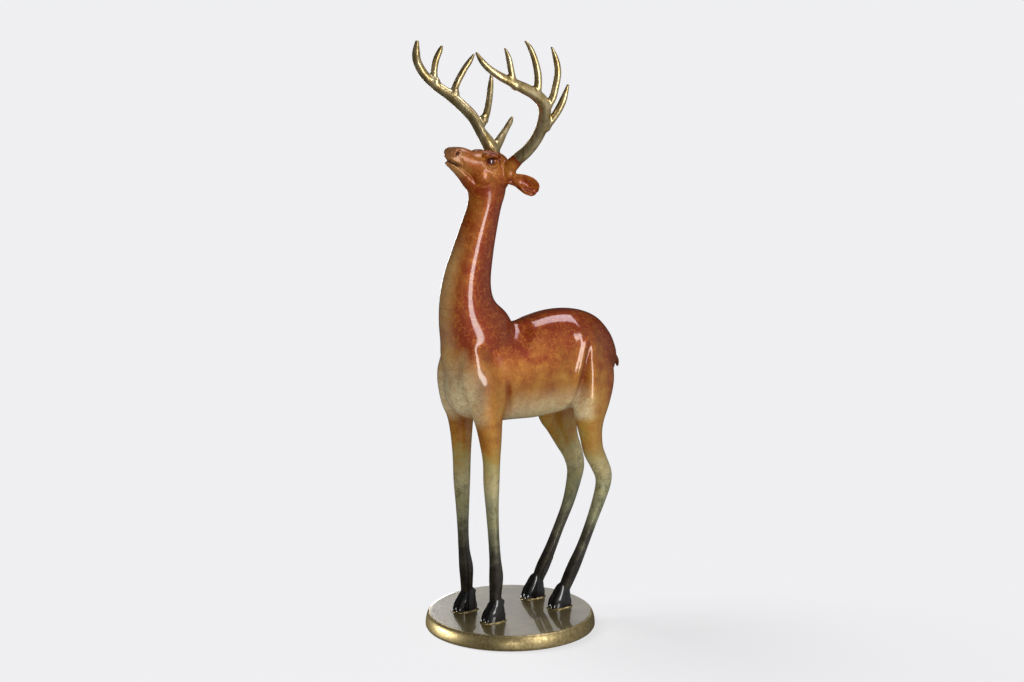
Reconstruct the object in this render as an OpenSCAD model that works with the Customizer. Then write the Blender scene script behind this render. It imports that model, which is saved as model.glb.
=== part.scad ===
// Standing stag statuette: hollow bronze castings joined together and bolted to a round base.
// Millimetres. +Z is up, the stag faces -Y, and +X is its left side.
// The origin is the centre of the felt's underside, on the surface that the statuette stands on.

/* [Base] */
// Diameter of the base at its foot
base_d = 152.4; // [150:0.2:156]
// Diameter of the base's flat top
base_top_d = 144.6; // [142:0.2:147]
// Height of the base's top above the table
base_h = 13.5; // [12.5:0.1:14]
// Thickness of the felt pad
felt_t = 2; // [1.6:0.1:2.4]
// How far the felt stands below the bronze
felt_proud = 0.6; // [0.3:0.1:1]
// Diameter of the felt pad
felt_d = 139.4; // [120:0.2:139.6]

/* [Castings] */
// Wall thickness of the hollow torso and neck
wall = 3.5; // [3:0.1:4.5]
// Diameter of the tenon on top of each leg
tenon_d = 8; // [6:0.1:9]
// Length of each tenon
tenon_l = 8; // [5:0.5:8]
// Radial gap between a tenon, pin or spigot and its hole
gap = 0.05; // [0.02:0.01:0.1]
// Diameter of the pins on the ears and the tail
pin_d = 2.4; // [2:0.1:2.6]
// Length of the pins on the ears and the tail
pin_l = 4; // [3:0.5:4]

/* [Fasteners] */
// Diameter of the threaded studs that hold the feet
stud_d = 4; // [3:0.5:4.5]
// Depth of a foot stud in its foot
stud_grip = 9; // [7:0.5:9.5]
// Diameter of the stud's clearance hole in the base
stud_hole_d = 4.6; // [4.6:0.1:4.8]
// Width across flats of the nuts
nut_af = 7; // [6.5:0.1:8]
// Thickness of the nuts
nut_t = 3.2; // [2.5:0.1:3.4]
// Outside diameter of the washers
washer_d = 9; // [8:0.5:9.5]
// Thickness of the washers
washer_t = 0.8; // [0.6:0.1:1]
// Diameter of the dowels that hold the antlers
dowel_d = 3; // [2.5:0.1:3.2]
// Length of an antler dowel
dowel_l = 12; // [8:0.5:12]

/* [Hidden] */
$fn = 48;
eps = 0.01;
far = 400;

patina_red = "#8a3f22";
patina_tan = "#a8793f";
patina_dark = "#2b241d";
olive_bronze = "#6f6547";
antler_bronze = "#a08a55";
felt_green = "#2c3a2e";
steel = "#9a9a98";

// Every casting ends where the next one starts, at these heights
front_cut_z = 190;
hind_cut_z = 184;
neck_cut_z = 298;
head_cut_z = 386;

// Hollow spigots line the neck up with the torso and the head up with the neck
neck_spigot = [0, -45];
neck_spigot_r = 13;
neck_spigot_bore = 9.5;
head_spigot = [0, -26];
head_spigot_r = 8;
head_spigot_bore = 5;
spigot_l = 7;
spigot_root = 6;
socket_l = 8;
// The casting is solid for this far behind a spigot or a socket
solid_end = 11;
// The rough core hole is this much smaller than the bore that cleans it out
core_play = 0.8;

// A casting's outline is a line of stations [x, y, z, half width across, half depth].
// A smooth curve joins them.
trunk_line = [
    [0, -62, 238, 4, 7],
    [0, -58, 237, 15, 23],
    [0, -47, 235, 24, 35],
    [0, -28, 233, 29, 41],
    [0, -5, 233, 30, 42.5],
    [0, 20, 235, 31, 46],
    [0, 45, 238, 31.5, 47.2],
    [0, 65, 238, 30.5, 44.5],
    [0, 79, 232.5, 26.5, 38.5],
    [0, 89.5, 226, 21, 30],
    [0, 97, 220, 14.5, 20.5],
    [0, 101, 217, 4, 7]
];
neck_line = [
    [0, -30, 242, 22, 35],
    [0, -34, 266, 22, 37],
    [0, -42, 286, 19, 30],
    [0, -45, 302, 17, 25.5],
    [0, -44, 320, 15.8, 22.5],
    [0, -38.5, 342, 14, 19.5],
    [0, -32, 364, 12.5, 17],
    [0, -26, 384, 12, 15.5],
    [0, -24, 397, 12, 18],
    [0, -26, 407, 10.5, 18.5],
    [0, -28, 412, 6, 12]
];
skull_line = [
    [0, 1, 405, 4, 4],
    [0, -3, 406, 10.5, 12.5],
    [0, -11, 408.5, 15.2, 17.3],
    [0, -21, 412.3, 16, 18],
    [0, -31, 416.3, 14.3, 16.3],
    [0, -41, 419.5, 11.2, 12.5],
    [0, -50, 423, 9.4, 11],
    [0, -57, 426.5, 8, 9],
    [0, -61.5, 429, 6, 6],
    [0, -63.6, 429.8, 2, 2]
];
jaw_line = [
    [0, -27, 404, 9, 9],
    [0, -40, 408, 8.5, 7],
    [0, -50, 413, 7, 5],
    [0, -57.5, 418, 5.4, 3.6],
    [0, -63, 421.7, 4, 2.2],
    [0, -65.4, 422.8, 1.6, 0.9]
];
ear_line = [
    [12, -9, 407.5, 2.6, 3],
    [17, -2.5, 406, 3, 5.5],
    [20.5, 2, 403.5, 3.2, 8],
    [24.5, 7, 399.7, 2.8, 8.2],
    [27.5, 10.5, 396.5, 2, 6],
    [29.3, 12.3, 393.8, 0.8, 1.5]
];
tail_line = [
    [0, 92, 243.5, 4, 3],
    [0, 102, 240, 4, 3],
    [0, 109, 236, 3.8, 2.8],
    [0, 113.5, 230, 2.8, 2.2],
    [0, 115, 224.5, 0.8, 0.8]
];
left_pedicle = [
    [10, -13, 411, 6, 6],
    [14, -8, 418, 6.2, 6.2],
    [18.5, -3.5, 424.5, 5.4, 5.4],
    [23, 1, 430, 5, 5]
];
right_pedicle = [
    [-12, -6, 406, 6, 6],
    [-15.5, -5, 416, 6.4, 6.4],
    [-18.5, -5, 424.5, 5.6, 5.6],
    [-21, -5, 432, 5.2, 5.2]
];
left_beam = [
    [14, -8, 418, 5.4, 5.4],
    [18.5, -3.5, 424.5, 5.4, 5.4],
    [24, 1.5, 431, 5.2, 5.2],
    [31, 6, 441, 5, 5],
    [38, 8, 453, 5.2, 5.2],
    [44, 7, 464.5, 5.4, 5.4],
    [49, 2, 475, 5.5, 5.5],
    [52, -8.5, 483.5, 5.2, 4.8],
    [54, -21, 489.5, 4.7, 4.1],
    [55, -34, 495.5, 4.1, 3.6],
    [55, -46, 501.5, 3.4, 3.1],
    [53, -55, 508, 2.9, 2.9],
    [51, -60.5, 514.5, 2.3, 2.3],
    [49, -64, 521, 1, 1]
];
left_tines = [
    [[54, -27, 489, 3.2, 3.2], [55, -31.5, 496, 3.2, 3.2], [55.5, -34, 505, 2.8, 2.8],
     [55, -36, 515, 2.4, 2.4], [53, -38.5, 523.5, 0.9, 0.9]],
    [[51, -7, 478, 3.4, 3.4], [53, -6, 488, 3.6, 3.6], [54, -6.5, 500, 3.2, 3.2],
     [52.5, -9, 513, 2.7, 2.7], [50.5, -12, 522, 2.2, 2.2], [48, -15.5, 528, 0.9, 0.9]],
    [[46, 4, 468, 3.4, 3.4], [51, 9.5, 477.5, 3.5, 3.5], [53, 12, 489, 3.1, 3.1],
     [54, 13.5, 501, 2.9, 2.9], [53, 12, 512, 2.5, 2.5], [51, 9, 522, 0.9, 0.9]],
    [[36, 8.5, 448, 3.4, 3.4], [41, 15, 458, 3.6, 3.6], [44.5, 20, 467, 3.4, 3.4],
     [47, 24, 477, 3, 3], [48, 28, 489, 1.1, 1.1]]
];
right_beam = [
    [-15.5, -5, 416, 5.6, 5.6],
    [-18.5, -5, 424.5, 5.6, 5.6],
    [-20, -9, 433, 5.5, 5.5],
    [-25, -14, 445, 5, 5],
    [-31, -18.5, 456, 5, 5],
    [-38, -27, 467, 4.8, 4.8],
    [-44, -35, 475.5, 4.8, 4.6],
    [-49, -45, 483.5, 4.4, 4.2],
    [-52, -54.5, 493, 4, 4],
    [-52, -61.5, 504, 3.7, 3.7],
    [-50, -64, 513, 3.4, 3.4],
    [-48, -64, 523, 1.6, 1.6]
];
right_tines = [
    [[-18, -6, 427, 4, 4], [-21, 2, 435, 3.6, 3.6], [-24.5, 10, 443.5, 3, 3],
     [-27, 17, 450, 2.4, 2.4], [-28, 20, 454.5, 0.9, 0.9]],
    [[-27, -13, 449, 3.8, 3.8], [-31, -5, 458, 3.4, 3.4], [-36, 1, 469, 2.9, 2.9],
     [-40, 5, 481, 2.6, 2.6], [-42, 7.5, 493, 1, 1]],
    [[-41, -32, 471, 3.6, 3.6], [-44, -28.5, 481.5, 3.3, 3.3], [-46, -19, 495, 2.8, 2.8],
     [-46, -12.5, 503, 2.4, 2.4], [-46, -8, 509, 0.9, 0.9]],
    [[-48, -45, 481, 3.4, 3.4], [-50.5, -46, 492, 3.2, 3.2], [-51, -44, 504, 2.9, 2.9],
     [-50.5, -40, 513, 2.3, 2.3], [-50, -38, 517.5, 0.9, 0.9]]
];
front_left_line = [
    [10, -40, 268, 5, 9],
    [18.5, -39, 240, 10, 18.5],
    [20, -36, 214, 10.5, 18],
    [21, -34.5, 196, 9.5, 13.5],
    [20.5, -33, 178, 8, 10.3],
    [19.5, -31.5, 160, 6.8, 8],
    [18.5, -31, 140, 6.4, 7.4],
    [18, -30, 118, 5.4, 6],
    [18, -28.5, 92, 4.7, 5.2],
    [18, -27, 70, 4.9, 5.4],
    [18, -26, 54, 5.6, 6.6],
    [18, -26.5, 42, 5.2, 6],
    [18, -27, 32, 4.8, 5.4],
    [18, -28, 22, 4.8, 5.4]
];
front_right_line = [
    [-10, -42, 270, 5, 9],
    [-19, -43.5, 242, 10, 19],
    [-21, -41, 214, 11, 18],
    [-22, -38, 196, 9.5, 13.5],
    [-21.5, -37.5, 178, 8, 10.3],
    [-21, -37.5, 156, 7.2, 8.4],
    [-21, -37.5, 136, 6.8, 7.8],
    [-21, -37, 114, 5.6, 6.4],
    [-21, -36.5, 90, 4.7, 5.2],
    [-21, -35.5, 70, 4.8, 5.3],
    [-21, -33.5, 54, 5.6, 6.6],
    [-21, -33, 42, 5.2, 6],
    [-21, -33, 32, 4.8, 5.4],
    [-21, -34, 22, 4.8, 5.4]
];
hind_left_line = [
    [10, 70, 266, 5, 9],
    [18, 71, 242, 11, 21],
    [20, 73, 222, 11.5, 24],
    [22, 71.5, 202, 11.5, 19.5],
    [22.5, 70, 186, 10, 14.5],
    [22.5, 71, 172, 8.5, 11],
    [22, 74, 157, 7.3, 9.9],
    [21.5, 80, 145, 6.4, 9],
    [20.5, 86, 133, 5.9, 8.5],
    [20, 86.5, 123, 5.6, 7.6],
    [19.5, 82.5, 109, 5.2, 6.3],
    [18.5, 75, 89, 4.7, 5.2],
    [18, 65.5, 67, 4.7, 5.2],
    [17.5, 57, 50, 5.2, 6.2],
    [17, 51, 38, 5.2, 6],
    [17, 47, 30, 4.8, 5.4],
    [17, 44, 22, 4.8, 5.4]
];
hind_right_line = [
    [-10, 70, 266, 5, 9],
    [-18, 71, 242, 11, 22],
    [-20, 73, 222, 11.5, 26.5],
    [-22, 69, 202, 11.5, 25.5],
    [-22.5, 66.5, 186, 10, 23],
    [-22.5, 69.5, 172, 8.5, 16],
    [-22.5, 75, 157, 7.3, 12],
    [-22, 81, 144, 6.4, 10],
    [-22, 84.5, 131, 5.9, 9],
    [-21.5, 82.5, 118, 5.5, 7.4],
    [-21, 76, 97, 4.9, 5.8],
    [-20.5, 66, 76, 4.7, 5.2],
    [-20, 56, 56, 5, 5.6],
    [-20, 48, 41, 5.4, 6.4],
    [-20, 43, 31, 5, 5.6],
    [-20, 40, 22, 4.8, 5.4]
];

// Where each foot, its stud and its tenon stand
front_left_foot = [18.5, -29.5];
front_right_foot = [-21, -35];
hind_left_foot = [16.5, 42];
hind_right_foot = [-20, 37];
front_left_stud = [18, -28.5];
front_right_stud = [-21, -34.5];
hind_left_stud = [16.8, 44];
hind_right_stud = [-20, 39.5];
front_left_tenon = [21, -34];
front_right_tenon = [-22, -38];
hind_left_tenon = [22.5, 70];
hind_right_tenon = [-22.5, 67];
studs = [front_left_stud, front_right_stud, hind_left_stud, hind_right_stud];
tenons = [front_left_tenon, front_right_tenon];
hind_tenons = [hind_left_tenon, hind_right_tenon];

// A hoof from its sole up: [backward shift, height above the sole, half width, half length]
hoof_outline = [
    [0, -4, 7.4, 11],
    [0, 0, 7.3, 10.8],
    [0.6, 4, 7, 10.2],
    [1.8, 9, 6.2, 8.4],
    [2.8, 14, 5.3, 6.6],
    [3.6, 18, 4, 4.4]
];

// The joints of the antlers, the ears and the tail: a point on the joint and the way out of the body
left_antler_joint = [18.5, -3.5, 424.5];
left_antler_way = [0.5, 0.5, 0.7];
right_antler_joint = [-18.5, -5, 424.5];
right_antler_way = [-0.3, 0, 1];
ear_joint = [17, -2.5, 406];
ear_way = [0.55, 0.75, -0.3];
tail_joint = [0, 102, 240];
tail_way = [0, 0.85, -0.5];

// The underside of the base: felt in a recess, and a counterbore for each nut
recess_d = 140;
felt_top = felt_t;
counterbore_d = 10;
counterbore_top = 7.2;
stud_foot = 2.4;

// Smooth curves through stations

function place(s) = [s[0], s[1], s[2]];
function unit(v) = v / norm(v);
function blend(a, b, c, d, t) = 0.5 * (2 * b + (c - a) * t
    + (2 * a - 5 * b + 4 * c - d) * t * t + (3 * b - a - 3 * c + d) * t * t * t);
function curve(line, steps) = let (last = len(line) - 1) [
    for (i = [0 : last - 1], k = [0 : steps - 1])
        blend(line[max(i - 1, 0)], line[i], line[i + 1], line[min(i + 2, last)], k / steps),
    line[last]
];
function heading(c, i) = unit(place(c[min(i + 1, len(c) - 1)]) - place(c[max(i - 1, 0)]));
function ring(s, along, across, sides) = let (u = unit(across - (across * along) * along), v = cross(along, u)) [
    for (k = [0 : sides - 1]) place(s) + u * s[3] * cos(360 * k / sides) + v * s[4] * sin(360 * k / sides)
];
function hollowed(line, by) = [for (s = line) [s[0], s[1], s[2], s[3] - by, s[4] - by]];
function inner(list) = [for (i = [1 : len(list) - 2]) list[i]];
function mirrored(v) = [-v[0], v[1], v[2]];

// A closed tube along a line of stations; across is the way that its half widths are measured
module limb(line, sides = 16, steps = 2, across = [1, 0, 0]) {
    c = curve(line, steps);
    last = len(c) - 1;
    polyhedron(
        points = [for (i = [0 : last]) each ring(c[i], heading(c, i), across, sides)],
        faces = [
            [for (k = [0 : sides - 1]) k],
            [for (k = [sides - 1 : -1 : 0]) last * sides + k],
            for (i = [0 : last - 1], k = [0 : sides - 1]) let (n = (k + 1) % sides, a = i * sides, b = a + sides)
                each [[a + k, b + n, a + n], [a + k, b + k, b + n]]
        ]
    );
}

// Joins the shapes inside it into one cast skin
module cast_skin() {
    resize([0, 0, 0]) union() children();
}

module above(z) {
    translate([-far / 2, -far / 2, z]) cube([far, far, far]);
}

module below(z) {
    translate([-far / 2, -far / 2, z - far]) cube([far, far, far]);
}

// Turns and moves its children from the Z axis onto a joint
module on_joint(at, way) {
    translate(at) rotate([0, acos(unit(way)[2]), atan2(way[1], way[0])]) children();
}

// Everything past a joint
module past(at, way) {
    on_joint(at, way) translate([-far / 2, -far / 2, 0]) cube([far, far, far]);
}

// A straight hole or pin on the Z axis, from one height to another
module post(xy, r, from, to) {
    translate([xy[0], xy[1], from]) cylinder(r = r, h = to - from);
}

// The rough hole that a core leaves in a casting, before it is bored
module core_hole(xy, r, from, to) {
    translate([xy[0], xy[1], from]) cylinder(r = r - core_play, h = to - from, $fn = 12);
}

// Base

module base_profile() {
    foot_r = base_d / 2;
    top_r = base_top_d / 2;
    rim_foot = 1.6;
    rim_drop = 0.5;
    polygon(concat(
        [[0, felt_top], [recess_d / 2, felt_top], [recess_d / 2, felt_proud], [foot_r - 0.6, felt_proud]],
        [for (a = [0 : 15 : 90]) [
            top_r + (foot_r - top_r) * cos(a),
            rim_foot + (base_h - rim_foot - rim_drop) * sin(a)
        ]],
        [[top_r - rim_drop, base_h], [0, base_h]]
    ));
}

module base_plate() {
    color(olive_bronze) difference() {
        rotate_extrude($fn = 96) base_profile();
        for (s = studs) {
            post(s, counterbore_d / 2, felt_top - eps, counterbore_top);
            post(s, stud_hole_d / 2, counterbore_top - eps, base_h + eps);
        }
    }
}

module felt_pad() {
    color(felt_green) cylinder(d = felt_d, h = felt_t, $fn = 96);
}

// Fasteners

module foot_studs() {
    color(steel) for (s = studs) post(s, stud_d / 2, stud_foot, base_h + stud_grip);
}

module stud_washers() {
    color(steel) for (s = studs) difference() {
        post(s, washer_d / 2, counterbore_top - washer_t, counterbore_top);
        post(s, stud_d / 2 + gap, counterbore_top - washer_t - eps, counterbore_top + eps);
    }
}

module stud_nuts() {
    top = counterbore_top - washer_t;
    color(steel) for (s = studs) difference() {
        translate([s[0], s[1], top - nut_t]) cylinder(d = nut_af / cos(30), h = nut_t, $fn = 6);
        post(s, stud_d / 2 + gap, top - nut_t - eps, top + eps);
    }
}

module antler_dowels() {
    color(steel) {
        on_joint(left_antler_joint, left_antler_way) cylinder(d = dowel_d, h = dowel_l, center = true);
        on_joint(right_antler_joint, right_antler_way) cylinder(d = dowel_d, h = dowel_l, center = true);
    }
}

module dowel_hole() {
    cylinder(d = dowel_d + 2 * gap, h = dowel_l + 0.4, center = true);
}

// Legs

module hoof(foot) {
    cleft = [0.9, 6.5];
    difference() {
        limb([for (h = hoof_outline) [foot[0], foot[1] + h[0], base_h + h[1], h[2], h[3]]]);
        translate([foot[0], foot[1] - hoof_outline[1][3], base_h]) rotate([-14, 0, 0]) translate([0, 0, -6])
            linear_extrude(24) polygon([[-cleft[0], -2], [cleft[0], -2], [0, cleft[1]]]);
    }
}

module dewclaws(foot) {
    claw = [1.8, 2, 2.8];
    for (side = [-1, 1]) translate([foot[0] + side * 2.8, foot[1] + 7.6, base_h + 16])
        scale(claw) sphere(1, $fn = 12);
}

module leg(line, foot, stud, tenon, top) {
    difference() {
        union() {
            cast_skin() difference() {
                union() {
                    limb(line);
                    hoof(foot);
                    dewclaws(foot);
                }
                above(top);
                below(base_h);
            }
            post(tenon, tenon_d / 2, top - tenon_l, top + tenon_l);
        }
        post(stud, stud_d / 2 + gap, base_h - eps, base_h + stud_grip + 0.5);
    }
}

module front_left_leg() {
    color(patina_dark) leg(front_left_line, front_left_foot, front_left_stud, front_left_tenon, front_cut_z);
}

module front_right_leg() {
    color(patina_dark) leg(front_right_line, front_right_foot, front_right_stud, front_right_tenon, front_cut_z);
}

module hind_left_leg() {
    color(patina_dark) leg(hind_left_line, hind_left_foot, hind_left_stud, hind_left_tenon, hind_cut_z);
}

module hind_right_leg() {
    color(patina_dark) leg(hind_right_line, hind_right_foot, hind_right_stud, hind_right_tenon, hind_cut_z);
}

// Torso, neck and head

module torso_skin() {
    limb(trunk_line, 32);
    limb(neck_line, 24);
    for (line = [front_left_line, front_right_line, hind_left_line, hind_right_line]) limb(line);
    difference() {
        limb(tail_line, 12);
        past(tail_joint, tail_way);
    }
}

module torso_cavity() {
    limb(inner(hollowed(trunk_line, wall)), 18, 1);
    difference() {
        limb(hollowed(neck_line, wall), 18, 1);
        above(neck_cut_z - solid_end);
    }
    core_hole(neck_spigot, neck_spigot_r, neck_cut_z - 2 * solid_end, neck_cut_z + eps);
}

module torso() {
    color(patina_red) difference() {
        cast_skin() difference() {
            torso_skin();
            above(neck_cut_z);
            below(hind_cut_z);
            translate([-far / 2, -far, front_cut_z - far]) cube([far, far, far]);
            torso_cavity();
        }
        for (t = tenons) post(t, tenon_d / 2 + gap, front_cut_z - eps, front_cut_z + tenon_l + 0.5);
        for (t = hind_tenons) post(t, tenon_d / 2 + gap, hind_cut_z - eps, hind_cut_z + tenon_l + 0.5);
        post(neck_spigot, neck_spigot_r + gap, neck_cut_z - socket_l, neck_cut_z + eps);
        on_joint(tail_joint, -tail_way) pin_hole();
    }
}

module neck() {
    color(patina_tan) difference() {
        union() {
            cast_skin() difference() {
                limb(neck_line, 24);
                below(neck_cut_z);
                above(head_cut_z);
                difference() {
                    limb(hollowed(neck_line, wall), 18, 1);
                    below(neck_cut_z + solid_end);
                    above(head_cut_z - solid_end);
                }
                core_hole(neck_spigot, neck_spigot_bore, neck_cut_z - eps, neck_cut_z + 2 * solid_end);
                core_hole(head_spigot, head_spigot_r, head_cut_z - 2 * solid_end, head_cut_z + eps);
            }
            post(neck_spigot, neck_spigot_r, neck_cut_z - spigot_l, neck_cut_z + spigot_root);
        }
        post(neck_spigot, neck_spigot_bore, neck_cut_z - spigot_l - eps, neck_cut_z + spigot_root + eps);
        post(head_spigot, head_spigot_r + gap, head_cut_z - socket_l, head_cut_z + eps);
    }
}

module head_skin() {
    limb(skull_line, 24);
    limb(jaw_line, 16);
    limb(neck_line, 24);
    difference() {
        limb(left_pedicle, 14, 2, [0, 1, 0]);
        past(left_antler_joint, left_antler_way);
    }
    difference() {
        limb(right_pedicle, 14, 2, [0, 1, 0]);
        past(right_antler_joint, right_antler_way);
    }
    for (side = [0, 1]) mirror([side, 0, 0]) difference() {
        limb(ear_line, 14);
        past(ear_joint, ear_way);
    }
}

module head() {
    color(patina_red) difference() {
        union() {
            cast_skin() difference() {
                head_skin();
                below(head_cut_z);
                core_hole(head_spigot, head_spigot_bore, head_cut_z - eps, head_cut_z + 2 * solid_end);
                translate([0, -21, head_cut_z + 2 * solid_end]) scale([8, 14, 9]) sphere(1, $fn = 16);
            }
            post(head_spigot, head_spigot_r, head_cut_z - spigot_l, head_cut_z + spigot_root);
        }
        post(head_spigot, head_spigot_bore, head_cut_z - spigot_l - eps, head_cut_z + spigot_root + eps);
        on_joint(left_antler_joint, left_antler_way) dowel_hole();
        on_joint(right_antler_joint, right_antler_way) dowel_hole();
        on_joint(ear_joint, -ear_way) pin_hole();
        on_joint(mirrored(ear_joint), -mirrored(ear_way)) pin_hole();
    }
}

// Ears, tail and antlers

module pin() {
    translate([0, 0, -pin_l / 2]) cylinder(d = pin_d, h = pin_l * 1.5);
}

module pin_hole() {
    translate([0, 0, -eps]) cylinder(d = pin_d + 2 * gap, h = pin_l + 0.4);
}

module left_ear() {
    color(patina_red) {
        cast_skin() intersection() {
            limb(ear_line, 14);
            past(ear_joint, ear_way);
        }
        on_joint(ear_joint, -ear_way) pin();
    }
}

module right_ear() {
    mirror([1, 0, 0]) left_ear();
}

module tail() {
    color(patina_dark) {
        cast_skin() intersection() {
            limb(tail_line, 12);
            past(tail_joint, tail_way);
        }
        on_joint(tail_joint, -tail_way) pin();
    }
}

module antler(beam, tines, joint, way) {
    color(antler_bronze) difference() {
        cast_skin() intersection() {
            union() {
                limb(beam, 12, 3, [0, 1, 0]);
                for (t = tines) limb(t, 10, 3, [0, 1, 0]);
            }
            past(joint, way);
        }
        on_joint(joint, way) dowel_hole();
    }
}

module left_antler() {
    antler(left_beam, left_tines, left_antler_joint, left_antler_way);
}

module right_antler() {
    antler(right_beam, right_tines, right_antler_joint, right_antler_way);
}

base_plate();
felt_pad();
foot_studs();
stud_washers();
stud_nuts();
front_left_leg();
front_right_leg();
hind_left_leg();
hind_right_leg();
torso();
neck();
head();
left_ear();
right_ear();
tail();
left_antler();
right_antler();
antler_dowels();
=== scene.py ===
"""A bronze stag that stands on a round base with its head raised, in metres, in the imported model's frame."""
import math

import bmesh
import bpy
import numpy as np
from mathutils import Matrix, Vector


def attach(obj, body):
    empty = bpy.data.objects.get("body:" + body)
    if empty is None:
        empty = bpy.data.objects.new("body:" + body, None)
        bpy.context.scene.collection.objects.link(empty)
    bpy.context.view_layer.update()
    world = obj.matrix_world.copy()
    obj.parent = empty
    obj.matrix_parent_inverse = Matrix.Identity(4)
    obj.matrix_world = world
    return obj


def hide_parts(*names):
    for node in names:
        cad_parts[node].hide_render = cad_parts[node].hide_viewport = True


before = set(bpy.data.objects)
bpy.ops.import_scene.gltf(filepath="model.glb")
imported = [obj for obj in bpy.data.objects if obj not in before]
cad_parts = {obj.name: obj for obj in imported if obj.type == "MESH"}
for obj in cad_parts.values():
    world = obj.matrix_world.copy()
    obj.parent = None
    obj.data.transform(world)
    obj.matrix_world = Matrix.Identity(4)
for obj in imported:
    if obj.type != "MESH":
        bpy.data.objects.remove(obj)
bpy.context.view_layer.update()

MM = 0.001


# ---- Studio ----
# A pale paper sweep with a soft box overhead, a tall strip beside the stag's left flank, a low one
# behind its right and a wide fill in front. The wall past its left haunch is paler than the rest.

def linear(hex_colour):
    """An sRGB hex colour as a linear RGBA tuple"""
    channels = [int(hex_colour[i:i + 2], 16) / 255 for i in (1, 3, 5)]
    return tuple(c / 12.92 if c <= 0.04045 else ((c + 0.055) / 1.055) ** 2.4 for c in channels) + (1.0,)


def add_node(tree, kind, links=None, **settings):
    """Adds one shader node, with its settings and socket values, and links its inputs"""
    node = tree.nodes.new(kind)
    for key, value in settings.items():
        setattr(node, key, value)
    for socket, value in (links or {}).items():
        if isinstance(value, bpy.types.NodeSocket):
            tree.links.new(value, node.inputs[socket])
        else:
            node.inputs[socket].default_value = value
    return node


def new_material(name):
    """An empty node material with its output, and the tree"""
    material = bpy.data.materials.new(name)
    material.use_nodes = True
    material.node_tree.nodes.clear()
    return material, material.node_tree


def finish_material(tree, shader):
    """Sends a shader to a material's surface"""
    add_node(tree, "ShaderNodeOutputMaterial", {"Surface": shader.outputs[0]})


def add_object(name, bm):
    """Makes an object of a bmesh, which it uses up"""
    mesh = bpy.data.meshes.new(name)
    bm.to_mesh(mesh)
    bm.free()
    piece = bpy.data.objects.new(name, mesh)
    bpy.context.scene.collection.objects.link(piece)
    return piece


def area_light(name, place, aim, size, watts, hex_colour="#ffffff"):
    """A soft box at a place, turned to aim at a point"""
    light = bpy.data.lights.new(name, "AREA")
    light.shape = "RECTANGLE"
    light.size, light.size_y = size
    light.energy = watts
    light.color = linear(hex_colour)[:3]
    box = bpy.data.objects.new(name, light)
    box.location = place
    box.rotation_euler = (Vector(aim) - Vector(place)).to_track_quat("-Z", "Y").to_euler()
    box.visible_camera = False
    bpy.context.scene.collection.objects.link(box)
    return box


def around(azimuth, distance, height):
    """A place at an azimuth round the stag, where 0 is in front of it and 90 is on its left"""
    a = math.radians(azimuth)
    return (distance * math.sin(a), -distance * math.cos(a), height)


# The camera's place as an azimuth, a raise and a distance in metres, and how it is turned from there
CAMERA_AZIMUTH = 57.8
CAMERA_RAISE = 18.913
CAMERA_DISTANCE = 2.1938
CAMERA_PITCH = 12.241
CAMERA_YAW = -0.045

camera = bpy.data.objects.new("camera", bpy.data.cameras.new("camera"))
camera.data.lens = 85
camera.data.sensor_width = 36
camera.location = around(
    CAMERA_AZIMUTH,
    CAMERA_DISTANCE * math.cos(math.radians(CAMERA_RAISE)),
    CAMERA_DISTANCE * math.sin(math.radians(CAMERA_RAISE)),
)
camera.rotation_euler = (math.radians(90 - CAMERA_PITCH), 0, math.radians(CAMERA_AZIMUTH + CAMERA_YAW))
bpy.context.scene.collection.objects.link(camera)
bpy.context.scene.camera = camera
bpy.context.scene.view_settings.view_transform = "Standard"

# The walls are dim but for a soft pale area about one azimuth, which lays a haze on the lacquer
PALE_WALL_AZIMUTH = 122
WALL_DIM = 0.05
WALL_PALE = 0.42
WHITE = "#f1f1f3"

world = bpy.data.worlds.new("white_studio")
bpy.context.scene.world = world
world.use_nodes = True
facing = add_node(world.node_tree, "ShaderNodeVectorMath", {
    0: add_node(world.node_tree, "ShaderNodeTexCoord").outputs["Generated"],
    1: around(PALE_WALL_AZIMUTH, 1, 0)}, operation="DOT_PRODUCT").outputs["Value"]
walls = add_node(world.node_tree, "ShaderNodeMapRange", {
    "Value": facing, "From Min": 0.1, "From Max": 0.95, "To Min": WALL_DIM, "To Max": WALL_PALE},
    interpolation_type="SMOOTHSTEP").outputs["Result"]
world.node_tree.nodes["Background"].inputs["Color"].default_value = linear(WHITE)
world.node_tree.links.new(walls, world.node_tree.nodes["Background"].inputs["Strength"])

# Matt paper, lit a little from within so that it stays evenly pale and shows no edge or horizon
FLOOR_REACH = 60
PAPER_GLOW = 0.766
bm = bmesh.new()
bmesh.ops.create_grid(bm, x_segments=1, y_segments=1, size=FLOOR_REACH)
floor = add_object("floor", bm)
paper, tree = new_material("matt_paper")
shader = add_node(tree, "ShaderNodeBsdfPrincipled", {
    "Base Color": linear("#9a9a9b"), "Roughness": 0.9, "Specular IOR Level": 0,
    "Emission Color": linear(WHITE), "Emission Strength": PAPER_GLOW})
finish_material(tree, shader)
floor.data.materials.append(paper)
floor.visible_glossy = False

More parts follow.
